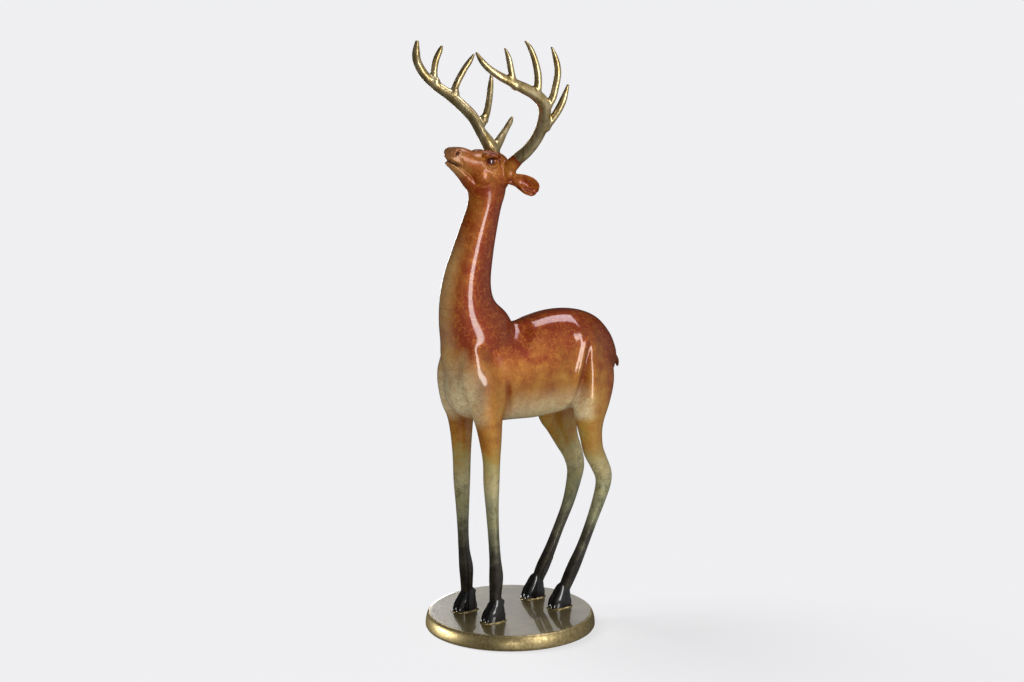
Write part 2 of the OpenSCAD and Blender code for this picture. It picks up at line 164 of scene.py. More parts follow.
# Each soft box has a place, an aim, a size in metres and its watts. The fill lights but isn't mirrored,
# and the cards are for the base plate alone.
boxes = [
    area_light("overhead_box", around(178, 0.72, 1.75), (0, 0, 0.28), (0.7, 0.74), 12, "#f1eefa"),
    area_light("key_strip", around(100, 0.8, 0.54), (0, 0, 0.5), (0.18, 0.94), 5.2),
    area_light("rim_strip", around(-112, 1.6, 0.24), (0, 0, 0.24), (0.3, 0.46), 4),
    area_light("fill_box", around(35, 1.8, 1.0), (0, 0, 0.3), (1.4, 1.2), 23.5),
]
boxes[-1].visible_glossy = False
cards = [
    area_light("left_card", around(-38, 1.4, 0.1), (0, 0, 0), (0.5, 0.2), 16),
    area_light("front_card", around(62, 1.6, 0.1), (0, 0, 0), (0.3, 0.2), 3),
    area_light("back_card", around(238, 2.2, 0.8), (0, 0, 0), (3, 1), 7),
]
sun = bpy.data.objects.new("paper_lamp", bpy.data.lights.new("paper_lamp", "SUN"))
sun.data.energy = 2.0
sun.data.angle = math.radians(40)
sun.rotation_euler = (-Vector(around(-55, 1.0, 1.2))).to_track_quat("-Z", "Y").to_euler()
bpy.context.scene.collection.objects.link(sun)

# The soft boxes are flagged off the paper, which a broad lamp of its own lights evenly
for name, state, lamps in (("off_paper", "EXCLUDE", boxes), ("on_paper", "INCLUDE", [sun])):
    group = bpy.data.collections.new(name)
    group.objects.link(floor)
    group.collection_objects[0].light_linking.link_state = state
    for lamp in lamps:
        lamp.light_linking.receiver_collection = group


# ---- Bronze skins ----
# The stag is cast in hollow bronze sections. Each is modelled as lofted limbs and swellings that are
# grown together into one skin, relaxed as wax is smoothed by hand, and then cut into its castings.

def smooth_line(stations, steps):
    """Stations in millimetres, joined by a smooth curve"""
    s = [Vector(p) for p in stations]
    line = []
    for i in range(len(s) - 1):
        a, b, c, d = s[max(i - 1, 0)], s[i], s[i + 1], s[min(i + 2, len(s) - 1)]
        for k in range(steps):
            t = k / steps
            line.append(0.5 * (2 * b + (c - a) * t + (2 * a - 5 * b + 4 * c - d) * t * t
                               + (3 * b - a - 3 * c + d) * t ** 3))
    return line + [s[-1]]


def loft(bm, stations, sides=32, steps=4, across=(1, 0, 0), cup=0):
    """A closed limb along stations [x, y, z, half width across, half depth]; cup dishes its front"""
    line = smooth_line(stations, steps)
    across = Vector(across)
    rings = []
    for i, s in enumerate(line):
        ahead, behind = line[min(i + 1, len(line) - 1)], line[max(i - 1, 0)]
        along = Vector((ahead - behind)[:3]).normalized()
        u = (across - across.dot(along) * along).normalized()
        v = along.cross(u)
        turn = Matrix((u * s[3], v * s[4], along)).transposed().to_4x4()
        place = Matrix.Translation(Vector((s[0], s[1], s[2])) * MM) @ Matrix.Scale(MM, 4) @ turn
        ring = bmesh.ops.create_circle(bm, cap_ends=False, segments=sides, radius=1, matrix=place)["verts"]
        middle = place.translation
        for p in ring if cup else ():
            reach = (p.co - middle).dot(v) / (s[4] * MM)
            p.co += u * cup * MM * min(s[4] / 6, 1) * reach ** 2
        rings.append(list({e for p in ring for e in p.link_edges}))
    for a, b in zip(rings, rings[1:]):
        bmesh.ops.bridge_loops(bm, edges=a + b)
    bmesh.ops.holes_fill(bm, edges=rings[0] + rings[-1], sides=0)


def swelling(bm, centre, radii, turn=(0, 0, 0)):
    """An ellipsoid of muscle or bone, in millimetres and degrees"""
    place = Matrix.Translation(Vector(centre) * MM)
    for axis, angle in zip("XYZ", turn):
        place = place @ Matrix.Rotation(math.radians(angle), 4, axis)
    size = Matrix.Diagonal((*(r * MM for r in radii), 1))
    bmesh.ops.create_icosphere(bm, subdivisions=4, radius=1, matrix=place @ size)


def settle(piece):
    """Keeps the shape that a piece's modifiers give it"""
    graph = bpy.context.evaluated_depsgraph_get()
    mesh = bpy.data.meshes.new_from_object(piece.evaluated_get(graph))
    piece.modifiers.clear()
    piece.data = mesh


def grow_together(piece, grain):
    """Makes one skin of overlapping shapes, with faces of the grain's size in millimetres"""
    remesh = piece.modifiers.new("skin", "REMESH")
    remesh.mode = "VOXEL"
    remesh.voxel_size = grain * MM
    remesh.use_smooth_shade = True
    settle(piece)


def points_of(piece, what="co"):
    """A piece's vertex positions in millimetres, or its vertex normals"""
    values = np.empty(len(piece.data.vertices) * 3)
    piece.data.vertices.foreach_get(what, values)
    return values.reshape(-1, 3) / (MM if what == "co" else 1)


def step_between(low, high, value):
    """0 below low, 1 above high and smooth between"""
    t = np.clip((value - low) / (high - low), 0, 1)
    return t * t * (3 - 2 * t)


def relax(piece, amount, times, softness):
    """Smooths a skin where softness, from 0 to 1 for each vertex, asks for it"""
    group = piece.vertex_groups.new(name="soft")
    shares = 20
    bins = np.round(softness * shares).astype(int)
    for share in range(1, shares + 1):
        members = np.nonzero(bins == share)[0].tolist()
        if members:
            group.add(members, share / shares, "REPLACE")
    smooth = piece.modifiers.new("relax", "SMOOTH")
    smooth.factor = amount
    smooth.iterations = times
    smooth.vertex_group = "soft"
    settle(piece)
    piece.vertex_groups.clear()


def to_line(points, line):
    """How far points lie from a line of stations, and the station values beside each point"""
    nearest = np.full(len(points), np.inf)
    beside = np.zeros((len(points), line.shape[1]))
    width = points.shape[1]
    for a, b in zip(line, line[1:]):
        along = b[:width] - a[:width]
        t = np.clip((points - a[:width]) @ along / max(along @ along, 1e-9), 0, 1)
        station = a + t[:, None] * (b - a)
        away = np.linalg.norm(points - station[:, :width], axis=1)
        closer = away < nearest
        nearest[closer] = away[closer]
        beside[closer] = station[closer]
    return nearest, beside


def tool(piece, strokes, view):
    """Works the wax along strokes [..., radius, depth]; a negative depth builds it up instead"""
    where = points_of(piece)
    normals = points_of(piece, "normal")
    places, reach = view(where, normals)
    depth = np.zeros(len(where))
    for stroke in strokes:
        line = np.array(stroke, dtype=float)
        away, beside = to_line(places, line)
        depth += beside[:, -1] * np.exp(-(away / np.maximum(beside[:, -2], 0.1)) ** 2)
    moved = (where - normals * (depth * reach)[:, None]) * MM
    piece.data.vertices.foreach_set("co", moved.ravel())
    piece.data.update()


def from_the_side(where, normals):
    """The side view of both flanks: a stroke's places are [y, z]"""
    return where[:, 1:], step_between(0.15, 0.55, np.abs(normals[:, 0]))


def cut_away(bm, at, way, near=None):
    """Cuts off what lies past a point, in millimetres, and closes the cut with a sharp edge"""
    points = [v for v in bm.verts if near is None or near(v.co / MM)]
    chosen = set(points)
    lines = [e for e in bm.edges if chosen.issuperset(e.verts)]
    faces = [f for f in bm.faces if chosen.issuperset(f.verts)]
    cut = bmesh.ops.bisect_plane(
        bm, geom=points + lines + faces, dist=1e-7, plane_co=Vector(at) * MM, plane_no=Vector(way),
        clear_outer=True)
    rim = [e for e in cut["geom_cut"] if isinstance(e, bmesh.types.BMEdge)]
    for e in rim:
        e.smooth = False
    bmesh.ops.holes_fill(bm, edges=rim, sides=0)


def drop(bm, unwanted):
    """Removes the faces that a test on their middle, in millimetres, picks out"""
    faces = [f for f in bm.faces if unwanted(f.calc_center_median() / MM)]
    bmesh.ops.delete(bm, geom=faces, context="FACES")


def casting(skin, name, node, cuts, unwanted=None):
    """One casting of a skin: what is left after its cuts"""
    bm = bmesh.new()
    bm.from_mesh(skin.data)
    for cut in cuts:
        cut_away(bm, *cut)
    if unwanted:
        drop(bm, unwanted)
    piece = add_object(name, bm)
    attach(piece, "root")
    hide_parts(node)
    return piece


def finish_in(piece, material):
    """Gives a piece one finish all over"""
    piece.data.materials.clear()
    piece.data.materials.append(material)


def paint(piece, **values):
    """Stores numbers on a piece's vertices, for its material to read"""
    for name, value in values.items():
        attribute = piece.data.attributes.new(name, "FLOAT", "POINT")
        attribute.data.foreach_set("value", np.asarray(value, dtype=np.float32))


# The hot patina runs from black through grey-green and amber to deep red, as the torch and the acids
# left it, and it is drawn redder and darker along creases and hollows as painted shade. Clouds and long
# hairline veins show in it, with dark specks and olive mottling at the knees, under a high-gloss lacquer.
HEAT_COLOURS = [
    (0.0, "#0a0807"), (0.1, "#28231e"), (0.2, "#423c33"), (0.3, "#6d6953"), (0.4, "#979570"),
    (0.5, "#a49b67"), (0.57, "#a4904e"), (0.64, "#a68038"), (0.72, "#a26f2b"), (0.8, "#915b1f"),
    (0.9, "#844210"), (1.0, "#742603"),
]
CLOUD_SIZE = 16 * MM
PALE_PATCH_SIZE = 7 * MM
MOTTLE_SIZE = 7 * MM
SPECK_SIZE = 1.1 * MM
VEIN_WIDTH = 0.024
VEINS = [(10 * MM, 0.34, "#c8812f"), (6 * MM, 0.26, "#c07a34"), (6 * MM, 0.34, "#4e2409")]

patina, tree = new_material("lacquered_hot_patina")
place = add_node(tree, "ShaderNodeTexCoord").outputs["Object"]
firing, pale, wax = [
    add_node(tree, "ShaderNodeAttribute", attribute_name=name).outputs["Fac"]
    for name in ("firing", "pale", "wax")]
cloud = add_node(tree, "ShaderNodeTexNoise", {
    "Vector": place, "Scale": 1 / CLOUD_SIZE, "Detail": 6, "Roughness": 0.65}).outputs["Fac"]
drift = add_node(tree, "ShaderNodeMath", {0: cloud, 1: 0.5, 2: -0.25}, operation="MULTIPLY_ADD").outputs[0]
heat_and_shade = add_node(tree, "ShaderNodeMath", {0: firing, 1: drift}).outputs[0]
ramp = add_node(tree, "ShaderNodeValToRGB", {"Fac": heat_and_shade})
for position, hex_colour in HEAT_COLOURS[1:-1]:
    ramp.color_ramp.elements.new(position).color = linear(hex_colour)
ramp.color_ramp.elements[0].color = linear(HEAT_COLOURS[0][1])
ramp.color_ramp.elements[-1].color = linear(HEAT_COLOURS[-1][1])
# The pale mix is real pale patina on the muzzle, knees and throat, and on the belly and low chest also a
# painted reflection of the pale floor
pale_patina_and_sheen = add_node(tree, "ShaderNodeTexNoise", {
    "Vector": place, "Scale": 1 / PALE_PATCH_SIZE, "Detail": 6, "Roughness": 0.7}).outputs["Fac"]
pale_patina_and_sheen = add_node(tree, "ShaderNodeMapRange", {
    "Value": pale_patina_and_sheen, "From Min": 0.3, "From Max": 0.6, "To Min": 0.55, "To Max": 1.0}).outputs["Result"]
pale_patina_and_sheen = add_node(tree, "ShaderNodeMath", {0: pale_patina_and_sheen, 1: pale}, operation="MULTIPLY").outputs[0]
colour = add_node(tree, "ShaderNodeMix", {
    "Factor": pale_patina_and_sheen, "A": ramp.outputs["Color"], "B": linear("#d8c99e")}, data_type="RGBA").outputs["Result"]
reddened = add_node(tree, "ShaderNodeMapRange", {
    "Value": firing, "From Min": 0.45, "From Max": 0.75}).outputs["Result"]
# Each set of veins lies at its own place in the noise, so that no two run together
for spacing, strength, hex_colour in VEINS:
    moved = add_node(tree, "ShaderNodeMapping", {
        "Vector": place, "Location": (spacing * 50, 0, 0)}).outputs["Vector"]
    contour = add_node(tree, "ShaderNodeTexNoise", {
        "Vector": moved, "Scale": 1 / spacing, "Detail": 3, "Roughness": 0.6}).outputs["Fac"]
    away = add_node(tree, "ShaderNodeMath", {0: contour, 1: 0.5}, operation="SUBTRACT").outputs[0]
    away = add_node(tree, "ShaderNodeMath", {0: away}, operation="ABSOLUTE").outputs[0]
    line = add_node(tree, "ShaderNodeMapRange", {
        "Value": away, "From Min": 0.0, "From Max": VEIN_WIDTH,
        "To Min": strength, "To Max": 0.0}).outputs["Result"]
    line = add_node(tree, "ShaderNodeMath", {0: line, 1: reddened}, operation="MULTIPLY").outputs[0]
    colour = add_node(tree, "ShaderNodeMix", {
        "Factor": line, "A": colour, "B": linear(hex_colour)}, data_type="RGBA").outputs["Result"]
speck = add_node(tree, "ShaderNodeTexNoise", {
    "Vector": place, "Scale": 1 / SPECK_SIZE, "Detail": 3, "Roughness": 0.7}).outputs["Fac"]
speck = add_node(tree, "ShaderNodeMapRange", {
    "Value": speck, "From Min": 0.56, "From Max": 0.72, "To Min": 0.0, "To Max": 0.5}).outputs["Result"]
mottle = add_node(tree, "ShaderNodeTexNoise", {
    "Vector": place, "Scale": 1 / MOTTLE_SIZE, "Detail": 8, "Roughness": 0.75,
    "Distortion": 0.8}).outputs["Fac"]
mottle = add_node(tree, "ShaderNodeMapRange", {
    "Value": mottle, "From Min": 0.5, "From Max": 0.64, "To Min": 0.0, "To Max": 0.65}).outputs["Result"]
olive = add_node(tree, "ShaderNodeMapRange", {
    "Value": firing, "From Min": 0.62, "From Max": 0.5}).outputs["Result"]
mottle = add_node(tree, "ShaderNodeMath", {0: mottle, 1: olive}, operation="MULTIPLY").outputs[0]
# The dark brown mix is partly wax left on the metal and partly painted shade in hollows and creases
for amount, hex_colour in ((mottle, "#4e4527"), (speck, "#2a1a0d"), (wax, "#2c1108")):
    colour = add_node(tree, "ShaderNodeMix", {
        "Factor": amount, "A": colour, "B": linear(hex_colour)}, data_type="RGBA").outputs["Result"]
bare = add_node(tree, "ShaderNodeMapRange", {
    "Value": firing, "From Min": 0.2, "From Max": 0.7, "To Min": 0.7, "To Max": 0.4}).outputs["Result"]
shader = add_node(tree, "ShaderNodeBsdfPrincipled", {
    "Base Color": colour, "Metallic": bare, "Roughness": 0.45, "Specular IOR Level": 0.08,
    "Coat Weight": 1.0, "Coat Roughness": 0.09})
finish_material(tree, shader)

# Heats by height in millimetres, from 0, black, to 1, deep red
FRONT_LEG_HEAT = [
    (13, 0.02), (34, 0.08), (50, 0.13), (66, 0.18), (80, 0.26), (92, 0.34), (106, 0.41), (124, 0.46),
    (144, 0.53), (160, 0.62), (184, 0.74), (205, 0.79), (225, 0.82)]
HIND_LEG_HEAT = [
    (13, 0.02), (34, 0.1), (56, 0.16), (76, 0.24), (96, 0.36), (114, 0.43), (134, 0.49), (150, 0.56),
    (165, 0.64), (188, 0.68), (205, 0.74), (225, 0.82)]
TRUNK_HEAT = [(186, 0.68), (205, 0.73), (230, 0.8), (252, 0.89), (275, 1.04), (290, 0.99), (310, 0.94)]


def heights_to_heat(stops, height):
    """Reads a list of heights and heats between its stops"""
    return np.interp(height, [h for h, _ in stops], [t for _, t in stops])


def neck_heat(outward, height):
    """The neck is deep red at the nape and browner at the throat, which is pale on its middle line"""
    nape = step_between(-0.5, 0.6, outward[:, 1])
    above = step_between(285, 305, height)
    middle_line = 1 - step_between(-0.96, -0.45, outward[:, 1])
    middle_line = middle_line * step_between(225, 262, height) * (1 - step_between(330, 375, height))
    return above * (0.2 * nape - 0.03) - 0.15 * middle_line, 0.25 * middle_line


def patinate(piece):
    """Colours a casting of the body by where it lies on the stag"""
    x, y, z = points_of(piece).T
    outward = points_of(piece, "normal")
    leg = 1 - step_between(188, 214, z)
    legs = np.where(y < 10, heights_to_heat(FRONT_LEG_HEAT, z), heights_to_heat(HIND_LEG_HEAT, z))
    neck_shift, throat = neck_heat(outward, z)
    heat_and_shade = leg * legs + (1 - leg) * (heights_to_heat(TRUNK_HEAT, z) + neck_shift)
    # The belly and the low chest are paler: partly the pale patina of the underside, partly a painted
    # reflection of the pale floor
    belly = (1 - step_between(196, 226, z)) * step_between(184, 192, z)
    belly = belly * step_between(-22, -8, y) * (1 - step_between(58, 74, y))
    chest = (1 - step_between(-60, -34, y)) * (1 - step_between(214, 262, z)) * step_between(188, 202, z)
    reach = step_between(0.15, 0.55, np.abs(outward[:, 0]))
    # Painted shade: redder and darker along the creases of both flanks
    for stroke in CREASE_SHADE_STROKES:
        away, beside = to_line(np.stack([y, z], axis=1), np.array(stroke, dtype=float))
        heat_and_shade = heat_and_shade + 0.07 * reach * beside[:, -1] * np.exp(-(away / beside[:, -2]) ** 2)
    heat_and_shade = heat_and_shade + 0.16 * step_between(76, 96, y) * step_between(192, 215, z)
    joints = 0.5 * np.exp(-((z - 138) / 14) ** 2)
    # Painted shade: a dark patch on each side where the chest meets the shoulder
    armpit_shade = 0.4 * np.exp(-((y + 47) / 6) ** 2 - ((z - 226) / 20) ** 2) * reach
    paint(piece, firing=heat_and_shade, pale=np.clip(0.85 * belly + chest + throat + joints, 0, 1), wax=armpit_shade)
    finish_in(piece, patina)


# Heights of the castings' joints in millimetres, and stations [x, y, z, half width, half depth] of the
# limbs that the skin is grown from
SKIN_GRAIN = 0.9
FRONT_CUT = 190
HIND_CUT = 184
NECK_CUT = 298
HEAD_CUT = 386
HOOF_CUT = 15

TRUNK = [
    (0, -62, 238, 4, 7),
    (0, -58, 237, 15, 23),
    (0, -47, 235, 24, 35),
    (0, -28, 233, 28, 41),
    (0, -5, 233, 29.8, 42.5),
    (0, 20, 235, 31.2, 46),
    (0, 45, 238, 31.8, 47.2),
    (0, 65, 238, 30.5, 44.5),
    (0, 79, 232.5, 26.5, 38.5),
    (0, 89.5, 226, 21, 30),
    (0, 97, 220, 14.5, 20.5),
    (0, 101, 217, 4, 7),
]
NECK = [
    (0, -30, 242, 22, 35),
    (0, -34, 266, 22, 37),
    (0, -42, 286, 19, 30),
    (0, -45, 302, 17, 25.5),
    (0, -44, 320, 15.8, 22.5),
    (0, -38.5, 342, 14, 19.5),
    (0, -32, 364, 12.5, 17),
    (0, -26, 384, 12, 15.5),
    (0, -24, 397, 12.6, 18),
    (0, -26, 407, 13.4, 18.5),
    (0, -28, 412, 10, 12),
]
LEGS = {
    "front_left_leg": [
        (10, -40, 268, 5, 9),
        (18.5, -39, 240, 10, 18.5),
        (18.8, -36, 214, 9.8, 18),
        (20, -34.5, 196, 9.2, 13.5),
        (20.5, -33, 178, 8, 10.3),
        (19.5, -31.5, 160, 6.8, 8),
        (18.5, -31, 140, 6.4, 7.4),
        (18, -30, 118, 5.4, 6),
        (18, -28.5, 92, 4.7, 5.2),
        (18, -27, 70, 4.9, 5.4),
        (18, -26, 54, 5.6, 6.6),
        (18, -26.5, 42, 5.2, 6),
        (18, -27, 32, 4.8, 5.4),
        (18, -28, 22, 4.4, 5),
    ],
    "front_right_leg": [
        (-10, -42, 270, 5, 9),
        (-19, -43.5, 242, 10, 19),
        (-21, -41, 214, 11, 18),
        (-22, -38, 196, 9.5, 13.5),
        (-21.5, -37.5, 178, 8, 10.3),
        (-21, -37.5, 156, 7.2, 8.4),
        (-21, -37.5, 136, 6.8, 7.8),
        (-21, -37, 114, 5.6, 6.4),
        (-21, -36.5, 90, 4.7, 5.2),
        (-21, -35.5, 70, 4.8, 5.3),
        (-21, -33.5, 54, 5.6, 6.6),
        (-21, -33, 42, 5.2, 6),
        (-21, -33, 32, 4.8, 5.4),
        (-21, -34, 22, 4.4, 5),
    ],
    "hind_left_leg": [
        (10, 70, 266, 5, 9),
        (18, 71, 242, 11, 21),
        (20, 73, 222, 11.5, 24),
        (22, 71.5, 202, 11.5, 19.5),
        (22.5, 70, 186, 10, 14.5),
        (22.5, 71, 172, 8.5, 11),
        (22, 74, 157, 7.3, 9.9),
        (21.5, 80, 145, 6.4, 9),
        (20.5, 86, 133, 5.9, 8.5),
        (20, 86.5, 123, 5.6, 7.6),
        (19.5, 82.5, 109, 5.2, 6.3),
        (18.5, 75, 89, 4.7, 5.2),
        (18, 65.5, 67, 4.7, 5.2),
        (17.5, 57, 50, 5.2, 6.2),
        (17, 51, 38, 5.2, 6),
        (17, 47, 30, 4.8, 5.4),
        (17, 44, 22, 4.4, 5),
    ],
    "hind_right_leg": [
        (-10, 70, 266, 5, 9),
        (-18, 71, 242, 11, 22),
        (-20, 73, 222, 11.5, 26.5),
        (-22, 69, 202, 11.5, 25.5),
        (-22.5, 66.5, 186, 10, 23),
        (-22.5, 69.5, 172, 8.5, 16),
        (-22.5, 75, 157, 7.3, 12),
        (-22, 81, 144, 6.4, 10),
        (-22, 84.5, 131, 5.9, 9),
        (-21.5, 82.5, 118, 5.5, 7.4),
        (-21, 76, 97, 4.9, 5.8),
        (-20.5, 66, 76, 4.7, 5.2),
        (-20, 56, 56, 5, 5.6),
        (-20, 48, 41, 5.4, 6.4),
        (-20, 43, 31, 5, 5.6),
        (-20, 40, 22, 4.4, 5),
    ],
}

bm = bmesh.new()
loft(bm, TRUNK, 48)
loft(bm, NECK, 40)
for line in LEGS.values():
    loft(bm, line)
for side in (-1, 1):
    swelling(bm, (side * 17, -44, 236), (11, 17, 32), (8, 0, 0))
    swelling(bm, (side * 17, 62, 246), (13, 24, 26), (-20, 0, 0))
    swelling(bm, (side * 21, 51, 222), (7.5, 6.5, 21), (-14, 0, 0))
skin = add_object("stag_skin", bm)
grow_together(skin, SKIN_GRAIN)
height = points_of(skin)[:, 2]
trunk_only = step_between(172, 200, height) * (1 - 0.9 * step_between(290, 312, height))
relax(skin, 0.5, 130, 0.03 + 0.97 * trunk_only)

# Muscles and folds of both flanks, tooled in the wax: [y, z, radius, depth]
FLANK_STROKES = [
    [(-20, 232, 2, 0.3), (-19, 224, 2.2, 1.8), (-18, 214, 2.4, 2.4), (-15, 203, 2.6, 1.2)],
    [(62, 259, 3.4, -0.9), (57, 246, 3.8, -1.5), (53, 235, 3.8, -1.6), (48, 212, 4, -2),
     (45, 199, 3.6, -1.6)],
    [(64, 257, 2.4, 0.6), (60.5, 243, 3.2, 2.2), (58, 226, 4, 2.8), (55, 210, 4.4, 2.8),
     (52, 199, 4, 1.4)],
    [(70, 264, 8, -1.2), (69.5, 240, 9, -2.1), (65, 208, 9, -2.3), (62, 194, 8, -0.6)],
    [(49, 263, 9.5, -0.8), (57, 264.5, 10, -2.6), (65, 262, 9, -1.2)],
    [(36, 262, 9, 0.3), (42, 250, 10, 0.8), (42, 236, 9, 0.3)],
    [(-6, 274, 9, 1.6), (4, 268, 10, 1.6), (10, 264, 8, 0.4)],
    [(84.5, 109, 1.4, 0.2), (76.5, 89, 1.4, 0.9), (67, 67, 1.4, 0.9), (58.5, 50, 1.4, 0.3)],
    [(-27.5, 118, 1.3, 0.2), (-26.5, 100, 1.3, 0.6), (-25, 78, 1.3, 0.7), (-23.5, 60, 1.3, 0.2)],
]
# Painted shade: the creases at the shoulder, the lowest ribs and the top of the thigh are drawn redder and
# darker, several of them where no crease is tooled
CREASE_SHADE_STROKES = [
    [(-26, 288, 1.6, 0.4), (-31, 279, 1.8, 1), (-37, 270, 1.6, 0.3)],
    [(-20, 277, 1.8, 0.3), (-24, 268, 2, 1), (-27, 260, 2, 1), (-33, 251, 1.8, 0.3)],
    [(-4, 284, 5, 0.5), (-9, 268, 5, 1), (-14, 252, 5, 1), (-19, 236, 4, 0.6)],
    [(-2, 259, 2.2, 0.6), (0, 251, 2.6, 1.5), (8, 245.5, 2.6, 1.5), (18, 248, 2.6, 1.5), (25, 254, 2.2, 0.6)],
    [(78, 243, 2.6, 0.5), (75, 233, 3, 1.2), (72, 222, 2.6, 0.5)],
    [(64, 257, 2.4, 1), (60.5, 243, 3.2, 2), (58, 226, 4, 2.4), (55, 210, 4.4, 2), (52, 199, 4, 1)],
    [(-19, 228, 2.4, 1.5), (-18, 217, 2.6, 2), (-15, 203, 2.8, 1)],
]
tool(skin, FLANK_STROKES, from_the_side)

for name in LEGS:
    left = 1 if "left" in name else -1
    front = "front" in name
    top = FRONT_CUT if front else HIND_CUT

    def elsewhere(middle, left=left, front=front):
        return middle.x * left < 0 or (middle.y > -10) == front

    ends = [((0, 0, top), (0, 0, 1)), ((0, 0, HOOF_CUT), (0, 0, -1))]
    leg = casting(skin, name + "_casting", name, ends, elsewhere)
    patinate(leg)

ends = [((0, 0, NECK_CUT), (0, 0, 1)), ((0, 0, HIND_CUT), (0, 0, -1))]
torso = casting(skin, "torso_casting", "torso", ends)
bm = bmesh.new()
bm.from_mesh(torso.data)
cut_away(bm, (0, 0, FRONT_CUT), (0, 0, -1), lambda p: p.y < -10)
bm.to_mesh(torso.data)
bm.free()
patinate(torso)
ends = [((0, 0, NECK_CUT), (0, 0, -1)), ((0, 0, HEAD_CUT), (0, 0, 1))]
neck = casting(skin, "neck_casting", "neck", ends)
patinate(neck)
bpy.data.objects.remove(skin)


# ---- Head and ears ----
# The head is one hollow casting with its eyes and the stumps of its antlers and ears. The ears are
# cast on their own and pinned on: a dished paddle with a rolled rim.

SKULL = [
    (0, 0, 408, 4, 4),
    (0, -4, 408.5, 10, 10.5),
    (0, -11, 409.8, 14.5, 16.3),
    (0, -21, 412.8, 15.3, 18),
    (0, -31, 416.8, 14.4, 16.1),
    (0, -41, 421, 11, 11.3),
    (0, -50, 426, 8.4, 9.8),
    (0, -57, 429, 7.4, 7.7),
    (0, -61.5, 430, 6.4, 5.8),
    (0, -64.6, 430.2, 2.6, 2.6),
]
JAW = [
    (0, -27, 400, 10, 9),
    (0, -38, 403.5, 8.6, 7.6),
    (0, -46, 409.5, 7.4, 4.8),
    (0, -52, 415.4, 6.6, 4),
    (0, -58, 419.6, 5.6, 2.8),
    (0, -62, 422.2, 4.6, 1.9),
    (0, -64.8, 423.5, 2, 0.9),
]
EAR = [
    (11, -10, 407.5, 3.4, 5),
    (15.5, -4, 405.6, 3, 5.6),
    (18.8, 0.2, 403.4, 2.3, 7.2),
    (22.3, 4.8, 400, 1.9, 8.2),
    (25, 8, 397, 1.6, 6.8),
    (26.6, 10, 394.4, 0.9, 2.4),
]
PEDICLES = {
    "left": [
        (10, -13, 411, 6, 6),
        (14, -8, 418, 6.2, 6.2),
        (18.5, -3.5, 424.5, 5.4, 5.4),
        (23, 1, 430, 5, 5),
    ],
    "right": [
        (-12, -6, 406, 6, 6),
        (-15.5, -5, 416, 6.4, 6.4),
        (-18.5, -5, 424.5, 5.6, 5.6),
        (-21, -5, 432, 5.2, 5.2),
    ],
}
# Each joint is a point on its cut, in millimetres, and the way out of the head
ANTLER_JOINTS = {"left": ((18.5, -3.5, 424.5), (0.5, 0.5, 0.7)), "right": ((-18.5, -5, 424.5), (-0.3, 0, 1))}
EAR_JOINT = ((17, -2.5, 406), (0.55, 0.75, -0.3))
EYE = (9.4, -26.6, 422.6)
EYE_R = 4.4
EAR_CUP = 3.6
HEAD_GRAIN = 0.45

bm = bmesh.new()
loft(bm, SKULL, 48)
loft(bm, JAW, 32)
loft(bm, NECK[6:], 40)
for side, line in PEDICLES.items():
    loft(bm, line, 28, 4, (0, 1, 0))
for side in (1, -1):
    loft(bm, [(side * s[0], *s[1:]) for s in EAR], 40, 5, (side, 0, 0), EAR_CUP)
    swelling(bm, (side * 9, -31, 411), (6, 11, 9.5), (-10, 0, 0))
    swelling(bm, (side * 12, -9.5, 413), (6.6, 7, 10))
    swelling(bm, (side * 10.5, -25, 427.6), (4.6, 9, 3.4), (-6, 0, 0))
    swelling(bm, (side * 4.4, -58, 431.5), (3.6, 5.6, 4.4))
head_skin = add_object("head_skin", bm)
grow_together(head_skin, HEAD_GRAIN)
where = points_of(head_skin)
on_the_ears = step_between(14, 17, np.abs(where[:, 0])) * step_between(-8, -2, where[:, 1])
relax(head_skin, 0.5, 24, 0.8 - 0.7 * on_the_ears)

